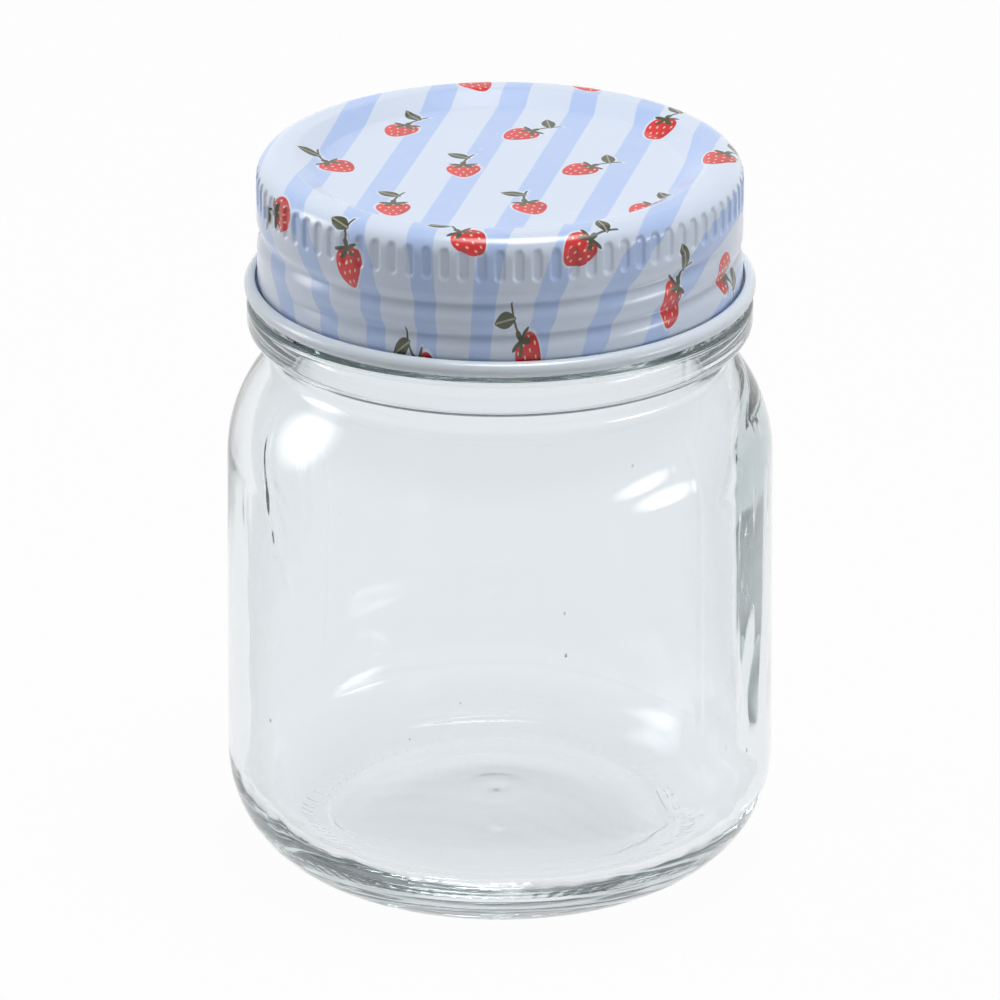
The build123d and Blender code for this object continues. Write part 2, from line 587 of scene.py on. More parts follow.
    def _seeds(self, across: Shade, up: Shade, berry: Shade) -> Shade:
        """Seeds in staggered rows on a berry.

        Args:
            across: distance across the berry.
            up: distance up the berry.
            berry: distance from its edge.

        Returns:
            A mask from 0 to 1.
        """
        row = up / self.seed_row
        stagger = (row.apply("FLOOR") * 0.5).apply("FRACT")
        x = (across / self.seed_column + stagger).apply("FRACT") - 0.5
        y = (row.apply("FRACT") - 0.5) * self.seed_squash
        spots = (x * x + y * y).apply("SQRT").below(self.seed_radius, self.seed_soft)
        return spots * berry.below(-self.seed_margin, self.edge)

    def _berries(self, g: Graph, x: Shade, y: Shade, tone: Shade, ground: Shade) -> Shade:
        """Strawberries with leaf and stem on the ground.

        Args:
            g: tree to add to.
            x: place across the sheet.
            y: place along the sheet.
            tone: noise that varies the red.
            ground: colour behind them.

        Returns:
            Colour of the print.
        """
        across, up = self._tossed(g, x, y)
        half_width, half_height = self.berry_width / 2, self.berry_height / 2
        raised = up + self.berry_hang
        level = across / (1.0 + self.berry_bulge * (raised / half_height))
        rim = (level / half_width).apply("POWER", 2.0) + (raised / half_height).apply("POWER", 2.0)
        berry = (rim.apply("SQRT") - 1.0) * half_width
        leaf, from_vein = self._leaf(across, up)
        green = self._calyx(across, up).least(self._stem(across, up), leaf)
        side = level / self.berry_width + self.shade_start + self.shade_range * (tone - 0.5)
        red = side.most(0.0).least(1.0).mix(self.ripe, self.shaded)
        vein = from_vein.below(self.vein_half_width, self.edge)

        picture = green.least(berry).below(self.margin, self.edge).mix(ground, self.white)
        picture = berry.below(0.0, self.edge).mix(picture, red)
        picture = self._seeds(level, raised, berry).mix(picture, self.seed)
        picture = green.below(0.0, self.edge).mix(picture, self.leaf)
        veined = self.vein_strength * (leaf.below(-self.vein_margin, self.edge) * vein)
        return veined.mix(picture, self.vein)


@dataclass(frozen=True)
class SealCompound:
    """Matt off-white sealing compound with a fine grain."""

    colour: Colour = (0.80, 0.79, 0.74)
    dusty: Colour = (0.68, 0.67, 0.62)
    cloud_scale: float = 420.0
    cloud_detail: float = 3.0
    roughness: float = 0.55
    roughness_range: float = 0.2
    grain_scale: float = 1800.0
    grain_depth: float = 0.00004
    grain_strength: float = 0.5

    def material(self) -> bpy.types.Material:
        """The finish as a material.

        Returns:
            The material.
        """
        material, g = new_material("seal_compound")
        place = g.place()
        cloud = g.noise(place, self.cloud_scale, self.cloud_detail)
        grain = g.noise(place, self.grain_scale)
        shader = g.node(
            "ShaderNodeBsdfPrincipled",
            inputs={
                "Base Color": cloud.mix(self.dusty, self.colour),
                "Roughness": self.roughness + self.roughness_range * cloud,
                "Normal": g.bump(grain, self.grain_depth, self.grain_strength),
            },
        )
        g.surface(shader)
        return material


@dataclass(frozen=True)
class WhiteFloor:
    """Pale studio floor that is white to the view and still keeps a soft shadow."""

    colour: Colour = (0.64, 0.64, 0.64)
    white_share: float = 0.97
    roughness: float = 0.7
    roughness_range: float = 0.1
    grain_scale: float = 60.0

    def material(self) -> bpy.types.Material:
        """The finish as a material.

        Returns:
            The material.
        """
        material, g = new_material("white_floor")
        grain = g.noise(g.place(), self.grain_scale)
        matt = g.node(
            "ShaderNodeBsdfPrincipled",
            inputs={
                "Base Color": self.colour,
                "Roughness": self.roughness + self.roughness_range * grain,
                "Specular IOR Level": 0.0,
            },
        )
        white = g.node("ShaderNodeEmission", inputs={"Color": WHITE, "Strength": 1.0})
        straight = g.node("ShaderNodeLightPath", output="Is Camera Ray")
        share = g.lit_by_view() - (1.0 - self.white_share) * straight
        g.surface(g.node("ShaderNodeMixShader", inputs={0: share, 1: matt, 2: white}))
        return material


class Outline:
    """A half section drawn point by point as radius and height, in millimetres."""

    swell_power: float = 1.5

    def __init__(self, radius: float, height: float, spacing: float) -> None:
        """Starts the outline.

        Args:
            radius: of the first point.
            height: of the first point.
            spacing: greatest distance between points on straight runs.
        """
        self.points = [(radius, height)]
        self.spacing = spacing
        self.marks: dict[str, int] = {}

    def mark(self, name: str) -> "Outline":
        """Remembers the place of the next point under a name."""
        self.marks[name] = len(self.points)
        return self

    def to(self, radius: float, height: float, spacing: Optional[float] = None) -> "Outline":
        """Goes straight to a point.

        Args:
            radius: of the point.
            height: of the point.
            spacing: of the points on the way, if not the outline's own.

        Returns:
            The outline.
        """
        start = self.points[-1]
        across, up = radius - start[0], height - start[1]
        run = hypot(across, up)
        steps = 0 if run < TOUCHING else max(1, round(run / (spacing or self.spacing)))
        for share in (step / steps for step in range(1, steps + 1)):
            self.points.append((start[0] + share * across, start[1] + share * up))
        return self

    def arc(self, centre: Pair, reach: Pair, start: float, end: float, steps: int) -> "Outline":
        """Goes along an arc of a circle or an ellipse.

        Args:
            centre: its middle.
            reach: its half width and half height.
            start: angle at which it starts, in degrees, left out if the outline is already there.
            end: angle at which it ends.
            steps: points along it.

        Returns:
            The outline.
        """
        for angle in np.radians(np.linspace(start, end, steps + 1)):
            point = (centre[0] + reach[0] * cos(angle), centre[1] + reach[1] * sin(angle))
            last = self.points[-1]
            if hypot(point[0] - last[0], point[1] - last[1]) > TOUCHING:
                self.points.append(point)
        return self

    def swell(self, edge: float, low: float, rise: float, inward: bool, steps: int) -> "Outline":
        """Goes over half of a soft swelling on the axis that runs out level at its edge.

        Args:
            edge: radius at which it runs out.
            low: height there.
            rise: height of its middle above that.
            inward: whether the outline comes from the edge.
            steps: points along it.

        Returns:
            The outline.
        """
        shares = np.sin(np.linspace(0, pi / 2, steps + 1))
        for share in shares[-2::-1] if inward else shares[1:]:
            height = low + rise * cos(pi / 2 * share**self.swell_power) ** 2
            self.points.append((edge * share, height))
        return self

    def bend(self, corner: Pair, onward: Pair, round_: float, steps: int = 6) -> "Outline":
        """Goes to a corner, round it, and stops where the next straight run begins.

        Args:
            corner: the sharp corner.
            onward: a point that the next run leads to.
            round_: radius of the rounding.
            steps: points along the rounding.

        Returns:
            The outline.
        """
        tip = np.array(corner)
        back = np.array(self.points[-1]) - tip
        ahead = np.array(onward) - tip
        back, ahead = back / np.linalg.norm(back), ahead / np.linalg.norm(ahead)
        half = np.arccos(np.clip(back @ ahead, -1, 1)) / 2
        run = round_ / tan(half)
        first, last = tip + run * back, tip + run * ahead
        self.to(*first)
        middle = tip + (back + ahead) / np.linalg.norm(back + ahead) * round_ / sin(half)
        span = pi - 2 * half
        for step in range(1, steps + 1):
            angle = span * step / steps
            leg = ((first - middle) * sin(span - angle) + (last - middle) * sin(angle)) / sin(span)
            self.points.append(tuple(middle + leg))
        return self

    def arrays(self) -> tuple[np.ndarray, np.ndarray]:
        """Radii and heights of all points."""
        drawn = np.array(self.points)
        return drawn[:, 0], drawn[:, 1]


def smooth(low: float, high: float, value: np.ndarray) -> np.ndarray:
    """A soft step from 0, up to the low place, to 1, from the high place on."""
    share = np.clip((value - low) / (high - low), 0, 1)
    return share * share * (3 - 2 * share)


def plateau(places: Places, value: np.ndarray) -> np.ndarray:
    """A soft rise between the first two places and a soft fall between the last two."""
    return smooth(places[0], places[1], value) * (1 - smooth(places[2], places[3], value))


def bell(away: np.ndarray, width: float) -> np.ndarray:
    """A soft hump that is 1 in its middle and runs out over a width on both sides."""
    return np.exp(-((away / width) ** 2))


def away_from(angles: np.ndarray, middle: Union[float, np.ndarray]) -> np.ndarray:
    """Turn from a middle angle to each angle, between half a turn back and half a turn on."""
    return (angles - middle + pi) % (2 * pi) - pi


def spun(radius: np.ndarray, height: np.ndarray, angles: np.ndarray) -> np.ndarray:
    """Places round the axis, one row for each point of a section and one column for each angle."""
    return np.stack([radius * np.cos(angles), radius * np.sin(angles), height], -1)


def facing(place: Triple, aim: Triple) -> Euler:
    """Turn of a lamp or a camera that stands at a place and looks at an aim."""
    return (Vector(aim) - Vector(place)).to_track_quat("-Z", "Y").to_euler()


def add_to_scene(name: str, data: bpy.types.ID) -> bpy.types.Object:
    """Puts a mesh, a lamp or a camera into the scene.

    Args:
        name: of the object.
        data: what it holds.

    Returns:
        The object.
    """
    made = bpy.data.objects.new(name, data)
    bpy.context.scene.collection.objects.link(made)
    return made


def smooth_piece(name: str, places: np.ndarray, faces: list[list[int]]) -> bpy.types.Object:
    """A smooth shaded piece in the scene.

    Args:
        name: of the piece.
        places: its points, in millimetres.
        faces: its faces, as numbers of points.

    Returns:
        The piece.
    """
    mesh = bpy.data.meshes.new(name)
    mesh.from_pydata((places * MM).tolist(), [], faces)
    mesh.shade_smooth()
    return add_to_scene(name, mesh)


def turned_piece(
    name: str, radius: np.ndarray, height: np.ndarray, angles: np.ndarray
) -> bpy.types.Object:
    """A closed piece turned about the axis, from the middle of one side to that of the other.

    Args:
        name: of the piece.
        radius: radii, one row for each point of the section and one column for each angle.
        height: heights in the same order.
        angles: angles round the axis, in radians.

    Returns:
        The piece.
    """
    rows, around = radius.shape
    ring = spun(radius, height, angles)[1:-1].reshape(-1, 3)
    ends = np.array([[0, 0, height[0].mean()], [0, 0, height[-1].mean()]])
    index = 2 + np.arange((rows - 2) * around).reshape(rows - 2, around)
    after = np.roll(index, -1, 1)
    quads = np.stack([index[:-1], after[:-1], after[1:], index[1:]], -1).reshape(-1, 4)
    first = np.stack([np.zeros(around, int), after[0], index[0]], -1)
    last = np.stack([np.ones(around, int), index[-1], after[-1]], -1)
    faces = first.tolist() + quads.tolist() + last.tolist()
    return smooth_piece(name, np.concatenate([ends, ring]), faces)


@dataclass
class Screw:
    """The screw line that the lid and the neck share, in millimetres, degrees and turns."""

    lid_start: float
    pitch: float = 4.4
    start_angle: float = -160.0
    lid_turns: float = 1.4
    lid_taper: float = 0.08
    glass_turns: float = 1.25
    glass_taper: float = 0.05
    groove_round: float = 0.16

    def _from_line(
        self, angles: np.ndarray, height: np.ndarray, start: float, turns: float
    ) -> tuple[np.ndarray, np.ndarray]:
        """How far each point is from the screw line, and how far along the line it is.

        Args:
            angles: angles round the axis, in radians.
            height: heights, as rows against the angles.
            start: height at which the line starts.
            turns: length of the line.

        Returns:
            Distance along the axis and place on the line in turns, from 0 to its length.
        """
        turned = ((angles - radians(self.start_angle)) / (2 * pi)) % 1.0
        whole = np.round((height - start) / self.pitch - turned)
        whole = np.clip(whole, 0, np.floor(turns - turned))
        along = turned + whole
        return height - start - self.pitch * along, along

    def raised(self, angles: np.ndarray, height: np.ndarray, width: Pair) -> np.ndarray:
        """Height of the thread on the glass, with sloping sides and tapered ends, from 0 to 1.

        Args:
            angles: angles round the axis, in radians.
            height: heights, as rows against the angles.
            width: its widths at the top and at the foot.

        Returns:
            The height.
        """
        turns, taper = self.glass_turns, self.glass_taper
        away, along = self._from_line(angles, height, self.lid_start + self.pitch / 2, turns)
        side = 1 - smooth(width[0] / 2, width[1] / 2, np.abs(away))
        return side * plateau((0.0, taper, turns - taper, turns), along)

    def rolled(self, angles: np.ndarray, height: np.ndarray) -> np.ndarray:
        """Depth of the thread in the lid, sharp in the groove and round between, from 0 to 1.

        Args:
            angles: angles round the axis, in radians.
            height: heights, as rows against the angles.

        Returns:
            The depth.
        """
        turns, taper = self.lid_turns, self.lid_taper
        away, along = self._from_line(angles, height, self.lid_start, turns)
        bow = pi * np.hypot(away, self.groove_round) / self.pitch
        side = 1 - np.sin(np.clip(bow, 0, pi / 2))
        return side * plateau((0.0, taper, turns - taper, turns), along)


@dataclass(frozen=True)
class Wave:
    """A soft wave in the glass: its height in millimetres, waves in a turn, rate and phase."""

    size: float
    around: int
    rate: float = 0.0
    phase: float = 0.0

    def relief(self, angles: np.ndarray, along: Union[float, np.ndarray] = 0.0) -> np.ndarray:
        """Offset that the wave makes at angles in radians and places along it in millimetres."""
        return self.size * np.sin(self.around * angles + self.rate * along + self.phase)


@dataclass(frozen=True)
class Cord:
    """A fine streak of stiffer glass that stands out on the inside, in millimetres and degrees."""

    angles: Pair
    heights: Pair
    width: float
    depth: float
    ends: Pair = (2.0, 5.0)
    wander: float = 0.012
    wander_rate: float = 0.55

    def relief(self, radius: float, angles: np.ndarray, height: np.ndarray) -> np.ndarray:
        """Outward offset that the streak makes.

        Args:
            radius: of the jar.
            angles: angles round the axis, in radians.
            height: heights, as rows against the angles.

        Returns:
            The offset.
        """
        top, low = self.heights
        outer, inner = self.ends
        share = np.clip((top - height) / (top - low), 0, 1)
        middle = np.radians(self.angles[0] + share * (self.angles[1] - self.angles[0]))
        middle = middle + self.wander * np.sin(self.wander_rate * height)
        ends = plateau((low - outer, low + inner, top - inner, top + outer), height)
        return self.depth * bell(radius * away_from(angles, middle), self.width) * ends


@dataclass(frozen=True)
class Wrinkles:
    """A chilled patch on the inside, with short uneven ripples, in millimetres and degrees."""

    angle: float
    spread: float
    heights: Pair
    length: float
    depth: float
    ends: float = 8.0
    sway: float = 2.0
    sway_rate: float = 0.37
    sway_slant: float = 2.6
    second_share: float = 0.6
    second_rate: float = 1.7
    second_slant: float = -3.0
    second_phase: float = 1.0

    def relief(self, angles: np.ndarray, height: np.ndarray) -> np.ndarray:
        """Outward offset that the patch makes.

        Args:
            angles: angles round the axis, in radians.
            height: heights, as rows against the angles.

        Returns:
            The offset.
        """
        top, low = self.heights
        away = away_from(angles, radians(self.angle)) / radians(self.spread)
        patch = np.exp(-(away**4)) * plateau((low, low + self.ends, top - self.ends, top), height)
        phase = 2 * pi * height / self.length
        swayed = phase + self.sway * np.sin(self.sway_rate * phase + self.sway_slant * away)
        second = self.second_rate * phase + self.second_slant * away + self.second_phase
        return self.depth * patch * (np.sin(swayed) + self.second_share * np.sin(second))


@dataclass
class GlassJar:
    """The blown glass jar, in millimetres and degrees."""

    body_radius: float
    rim: float
    screw: Screw
    finish: PotGlass = field(default_factory=PotGlass)
    mouth_radius: float = 28.3
    neck_wall: float = 2.9
    rim_round: float = 0.8
    finish_height: float = 18.4
    finish_round: float = 1.0
    bead_reach: float = 3.45
    bead_height: float = 5.4
    bead_top_round: float = 0.9
    bead_low_round: float = 2.4
    bead_root_round: float = 0.8
    neck_gap: float = 3.1
    neck_round: float = 2.0
    throat_round: float = 4.0
    throat_stop: float = 8.0
    shoulder_round: float = 20.0
    shoulder_stop: float = 5.0
    shoulder_height: float = 58.7
    body_taper: float = 0.4
    heel_width: float = 13.5
    heel_height: float = 15.1
    wall: float = 2.8
    floor_thickness: float = 5.3
    floor_crown: float = 2.9
    push_up: float = 1.7
    standing_width: float = 2.0
    thread_height: float = 1.15
    thread_width: Pair = (1.0, 2.6)
    seam_angle: float = -44.0
    seam_height: float = 0.07
    seam_width: float = 0.30
    seam_start: Pair = (10.0, 20.0)
    rib_count: int = 80
    rib_depth: float = 0.12
    rib_band: Places = (26.4, 27.0, 29.2, 30.0)
    worn_angle: float = -88.0
    worn_spread: Pair = (30.0, 55.0)
    worn_share: float = 0.75
    stipple_angle: float = -15.0
    stipple_spread: Pair = (35.0, 45.0)
    stipple_share: float = 1.8
    stipple_turns: tuple[int, int] = (61, 23)
    stipple_rates: Pair = (4.1, 3.7)
    stipple_wander: Pair = (2.0, 3.0)
    pimple_height: float = 0.16
    pimple_radius: float = 1.5
    halo_height: float = 0.018
    halo_radius: float = 5.5
    halo_width: float = 1.0
    edge_ring: float = 23.7
    edge_ring_depth: float = 0.24
    edge_ring_width: float = 0.40
    edge_ring_waves: tuple[Wave, ...] = (Wave(0.12, 3, phase=0.5), Wave(0.08, 5))
    edge_ring_fade: Wave = Wave(0.35, 2, phase=2.2)
    floor_ripple: float = 0.010
    floor_ripple_band: Places = (2.0, 8.0, 20.0, 24.0)
    floor_ripple_rates: tuple[Pair, Pair] = ((0.9, 0.5), (0.35, -0.7))
    floor_ripple_phase: float = 1.0
    lean_in: float = 0.3
    lean_heights: Places = (6.0, 20.0, 47.0, 82.0)
    thick_side: float = 1.6
    thick_around: Places = (-100.0, -30.0, 115.0, 175.0)
    ridge_height: float = 1.0
    ridge_around: Places = (-26.0, -9.0, 115.0, 170.0)
    ridge_heights: Places = (18.0, 29.0, 58.0, 69.0)
    ridge_soft: float = 0.08
    ridge_layers: int = 5
    ridge_pinch: float = 6.0
    ridge_pinch_ratio: float = 1.75
    ridge_pinch_heights: Pair = (20.0, 42.0)
    ridge_lift: float = 8.0
    ridge_lift_run: Pair = (1.0, 17.0)
    waves: tuple[Wave, ...] = (
        Wave(0.06, 2, 0.06, 0.9),
        Wave(0.04, 3, -0.11, 2.0),
        Wave(0.012, 9, 0.17),
    )
    streaks: tuple[Wave, ...] = (
        Wave(0.007, 37, 0.5),
        Wave(0.006, 53, -0.4, 1.3),
        Wave(0.010, 19, 0.9),
    )
    streak_heights: Places = (5.5, 8.0, 13.0, 19.0)
    seed_count: int = 16
    seed_start: int = 11
    seed_heights: Pair = (18.0, 56.0)
    seed_depths: Pair = (0.7, 1.3)
    seed_radii: Pair = (0.07, 0.20)
    seed_stretch: Pair = (1.2, 2.2)
    cords: tuple[Cord, ...] = (
        Cord((-156.0, -142.0), (69.0, 47.0), 0.70, 0.085),
        Cord((-152.0, -139.0), (64.0, 50.0), 0.50, -0.08),
        Cord((-161.0, -158.0), (60.0, 20.0), 0.80, 0.025),
        Cord((38.0, 31.0), (66.0, 40.0), 0.60, 0.12),
        Cord((118.0, 127.0), (62.0, 30.0), 0.55, 0.10),
    )
    wrinkles: tuple[Wrinkles, ...] = (
        Wrinkles(-22.0, 3.0, (58.0, 20.0), 3.6, 0.02),
        Wrinkles(-146.0, 4.0, (66.0, 46.0), 4.4, 0.04),
    )
    around: int = 480

    def section(self) -> Outline:
        """Half section from the middle of the push-up, up the outside and down the inside.

        Returns:
            The section.
        """
        neck = self.mouth_radius + self.neck_wall
        shoulder = self.body_radius - self.body_taper
        standing = self.body_radius - self.heel_width
        stand_in = standing - self.standing_width
        bead_top = self.rim - self.finish_height
        bead_low = bead_top - self.bead_height
        bead = neck + self.bead_reach
        neck_low = bead_low - self.neck_gap
        centre = (shoulder - self.shoulder_round, self.shoulder_height)
        turn = np.degrees(atan2(neck_low - centre[1], neck - centre[0])) - self.shoulder_stop
        heel = (standing, self.heel_height)

        line = Outline(0.0, self.push_up, spacing=0.9)
        line.swell(stand_in, 0.0, self.push_up, inward=False, steps=26)
        line.to(standing, 0.0, spacing=0.4)
        line.arc(heel, (self.heel_width, self.heel_height), 270.0, 360.0, steps=84)
        line.to(shoulder, self.shoulder_height, spacing=1.4)
        line.arc(centre, (self.shoulder_round, self.shoulder_round), 0.0, turn, steps=26)
        line.bend((neck, neck_low), (neck, bead_low), self.neck_round)
        line.bend((neck, bead_low), (bead, bead_low), self.bead_root_round)
        line.bend((bead, bead_low), (bead, bead_top), self.bead_low_round, steps=9)
        line.bend((bead, bead_top), (neck, bead_top), self.bead_top_round)
        line.bend((neck, bead_top), (neck, self.rim), self.finish_round)
        line.mark("neck").to(neck, self.rim - 2 * self.rim_round, spacing=0.32).mark("rim")

        mouth = self.mouth_radius
        inside_round = self.shoulder_round - self.wall
        inside_top = centre[1] + sqrt(inside_round**2 - (mouth - centre[0]) ** 2)
        throat = np.degrees(atan2(inside_top - centre[1], mouth - centre[0])) - self.throat_stop
        bow = radians(throat)
        below = (centre[0] + inside_round * cos(bow), centre[1] + inside_round * sin(bow))
        heel_in = (self.heel_width - self.wall, self.heel_height - self.floor_thickness)
        line.bend((neck, self.rim), (mouth, self.rim), self.rim_round)
        line.bend((mouth, self.rim), (mouth, inside_top), self.rim_round).mark("inside")
        line.bend((mouth, inside_top), below, self.throat_round)
        line.arc(centre, (inside_round, inside_round), throat, 0.0, steps=24)
        line.to(self.body_radius - self.wall, self.heel_height, spacing=1.4)
        line.arc(heel, heel_in, 360.0, 270.0, steps=30).mark("floor")
        return line.swell(standing, self.floor_thickness, self.floor_crown, inward=True, steps=88)

    def _inside_lean(self, angles: np.ndarray, height: np.ndarray) -> np.ndarray:
        """How far the blown inside departs from round: thick on one side, with soft waves.

        Args:
            angles: angles round the axis, in radians.
            height: heights, as rows against the angles.

        Returns:
            Outward offset.
        """
        reach = plateau(self.lean_heights, height)
        start = self.thick_around[0]
        around = (np.degrees(angles) - start) % 360.0 + start
        lean = -self.lean_in - self.thick_side * plateau(self.thick_around, around)
        waves = sum(wave.relief(angles, height) for wave in self.waves)
        streaks = sum(streak.relief(angles, height) for streak in self.streaks)
        marks = sum(cord.relief(self.body_radius, angles, height) for cord in self.cords)
        marks = marks + sum(patch.relief(angles, height) for patch in self.wrinkles)
        marks = marks + streaks * plateau(self.streak_heights, height)
        return reach * (lean + waves) + marks - self.ridge_height * self._ridge(around, height)

    def _ridge(self, around: np.ndarray, height: np.ndarray) -> np.ndarray:
        """The sharp step at which the thick side of the wall starts; it narrows towards the foot.

        Args:
            around: angles round the axis, in degrees.
            height: heights, as rows against the angles.

        Returns:
            Height of the step, from 0 to 1.
        """
        first, last, back, end = self.ridge_around
        low, full, top, gone = self.ridge_heights
        pinch = self.ridge_pinch * (1 - smooth(*self.ridge_pinch_heights, height))
        share = (around - first - pinch) / (last - first - self.ridge_pinch_ratio * pinch)
        shifts = np.linspace(-self.ridge_soft, self.ridge_soft, self.ridge_layers)
        step = np.mean([np.clip(share + shift, 0, 1) for shift in shifts], axis=0)
        run = [last + place for place in self.ridge_lift_run]
        lifted = height - self.ridge_lift * smooth(*run, around)
        upright = smooth(low, full, lifted) * (1 - smooth(top, gone, height))
        return step * upright * (1 - smooth(back, end, around))

    @staticmethod
    def _patch(angles: np.ndarray, middle: float, spread: Pair) -> np.ndarray:
        """A patch of the turn, from 0 to 1, that fades between two distances from its middle."""
        return 1 - smooth(*spread, np.degrees(np.abs(away_from(angles, radians(middle)))))

    def _foot_relief(self, angles: np.ndarray, radius: np.ndarray) -> np.ndarray:
        """Marks pressed in round the foot: short ribs, and stipple in their place on one side.

        Args:
            angles: angles round the axis, in radians.
            radius: radii, as rows against the angles.

        Returns:
            Depth of the marks, from 0 to 1.
        """
        stippled = self._patch(angles, self.stipple_angle, self.stipple_spread)
        worn = self._patch(angles, self.worn_angle, self.worn_spread)
        ribs = np.cos(self.rib_count * angles) * (1 - self.worn_share * worn)
        turns, swing = self.stipple_turns
        rate, pull = self.stipple_rates
        stray, sway = self.stipple_wander
        rows = np.sin(turns * angles + stray * np.sin(rate * radius))
        stipple = rows * np.sin(pull * radius + sway * np.sin(swing * angles))
        marks = stippled * self.stipple_share * stipple + (1 - stippled) * ribs
        return plateau(self.rib_band, radius) * np.maximum(marks, 0)

    def _floor_relief(self, angles: np.ndarray, radius: np.ndarray) -> np.ndarray:
        """Marks on the inside of the floor: a drop in the middle, a fine ring, watery ripples.

        Args:
            angles: angles round the axis, in radians.
            radius: radii, as rows against the angles.

        Returns:
            Upward offset.
        """
        x, y = radius * np.cos(angles), radius * np.sin(angles)
        drop = self.pimple_height * bell(radius, self.pimple_radius)
        halo = self.halo_height * bell(radius - self.halo_radius, self.halo_width)
        ring = self.edge_ring + sum(wave.relief(angles) for wave in self.edge_ring_waves)
        fade = 1 - self.edge_ring_fade.size + self.edge_ring_fade.relief(angles)
        edge = -self.edge_ring_depth * fade * bell(radius - ring, self.edge_ring_width)
        (long_x, long_y), (short_x, short_y) = self.floor_ripple_rates
        ripples = np.sin(long_x * x + long_y * y + self.floor_ripple_phase)
        ripples = self.floor_ripple * ripples * np.sin(short_x * x + short_y * y)
        return drop + halo + edge + ripples * plateau(self.floor_ripple_band, radius)

    def _add_seeds(self, piece: bpy.types.Object) -> None:
        """Leaves a few tiny bubbles in the wall, as closed hollows.

        Args:
            piece: the jar.
        """
        chance = np.random.default_rng(self.seed_start)
        body = bmesh.new()
        body.from_mesh(piece.data)
        for _ in range(self.seed_count):
            angle, high = chance.uniform(0, 2 * pi), chance.uniform(*self.seed_heights)
            away = self.body_radius - chance.uniform(*self.seed_depths)
            size = chance.uniform(*self.seed_radii) * MM
            place = Vector((away * cos(angle), away * sin(angle), high)) * MM
            stretch = Matrix.Diagonal((1.0, 1.0, chance.uniform(*self.seed_stretch), 1.0))
            shape = Matrix.Translation(place) @ stretch
            made = bmesh.ops.create_icosphere(body, subdivisions=2, radius=size, matrix=shape)
            faces = list({face for vertex in made["verts"] for face in vertex.link_faces})
            bmesh.ops.reverse_faces(body, faces=faces)
        for face in body.faces:
            face.smooth = True
        body.to_mesh(piece.data)
        body.free()

    def build(self) -> bpy.types.Object:
        """Builds the jar with its thread, mould seams, ribbed foot and uneven inside.

        Returns:
            The piece.
        """
        line = self.section()
        radii, heights = line.arrays()
        angles = np.linspace(0, 2 * pi, self.around, endpoint=False)
        radius = np.repeat(radii[:, None], self.around, 1)
        height = np.repeat(heights[:, None], self.around, 1)
        rows = np.arange(len(radii))[:, None]
        outside = rows < line.marks["neck"]
        threaded = (rows >= line.marks["neck"]) & (rows < line.marks["rim"])
        inside = (rows >= line.marks["inside"]) & (rows < line.marks["floor"])

        thread = self.screw.raised(angles, height, self.thread_width)
        radius = radius + threaded * self.thread_height * thread
        for seam in (radians(self.seam_angle), radians(self.seam_angle) + pi):
            ridge = bell(self.body_radius * away_from(angles, seam), self.seam_width)
            ridge = ridge * smooth(*self.seam_start, height)
            radius = radius + outside * self.seam_height * ridge
        under = outside & (height < self.heel_height / 2)
        height = height + under * self.rib_depth * self._foot_relief(angles, radius)
        radius = radius + inside * self._inside_lean(angles, height)
        height = height + (rows >= line.marks["floor"]) * self._floor_relief(angles, radius)
        piece = turned_piece("blown_jar", radius, height, angles)
        self._add_seeds(piece)
        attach(piece, Body.JAR.value)
        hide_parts(Node.JAR.value)
        log.info("glass jar: %d faces", len(piece.data.polygons))
        return piece

    def dress(self, piece: bpy.types.Object) -> None:
        """Gives the jar its finish."""
        piece.data.materials.append(self.finish.material())


